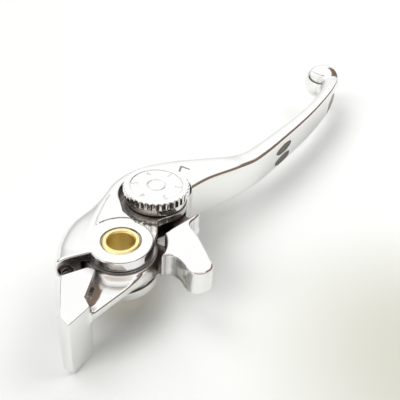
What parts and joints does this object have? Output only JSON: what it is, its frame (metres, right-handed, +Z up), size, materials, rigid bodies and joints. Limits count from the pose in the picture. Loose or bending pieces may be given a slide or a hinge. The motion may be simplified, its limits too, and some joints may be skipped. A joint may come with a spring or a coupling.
{
  "type": "brake lever",
  "caption": "Right-hand motorcycle brake lever with a curved blade, ball end, pivot bush, knocker arm and a reach adjuster dial.",
  "frame": {"origin": "centre of the pivot bore, midway between the outer faces of the two ears", "axes": "+X from the pivot to the ball at the end of the blade, +Y forward, away from the rider, +Z up along the pivot bore"},
  "size_m": [0.2014, 0.0502, 0.0253],
  "materials": {
    "plated_forging": "forged aluminium, polished and bright chrome plated",
    "plated_knocker": "forged aluminium, polished and bright chrome plated",
    "bush_brass": "turned brass with bright chamfers",
    "dial_chrome": "turned steel, polished and chrome plated",
    "cam_steel": "ground steel with a thin film of grease",
    "washer_steel": "stamped steel",
    "spring_steel": "drawn spring steel wire, oiled"
  },
  "bodies": {
    "lever": {"lever_blade": "plated_forging", "pivot_bush": "bush_brass", "upper_thrust_washer": "washer_steel", "lower_thrust_washer": "washer_steel", "wave_washer": "washer_steel", "click_ball": "spring_steel", "click_spring": "spring_steel", "knocker_spring": "spring_steel"},
    "dial": {"adjuster_dial": "dial_chrome", "adjuster_cam": "cam_steel", "cam_clip": "washer_steel"},
    "knocker": {"knocker": "plated_knocker"}
  },
  "joints": [
    {"name": "dial_turn", "type": "hinge", "parent": "lever", "child": "dial", "pos_m": [0.0245, 0.0052, 0], "axis": [0, 0, 1], "range_deg": [0, 300]},
    {"name": "knocker_pivot", "type": "hinge", "parent": "lever", "child": "knocker", "pos_m": [0, 0, 0], "axis": [0, 0, 1], "range_deg": [-5.3, 0.1], "deforming": ["knocker_spring"]}
  ],
  "couplings": [
    {"joint": "knocker_pivot", "follows": "dial_turn", "ratio": -0.01715}
  ]
}
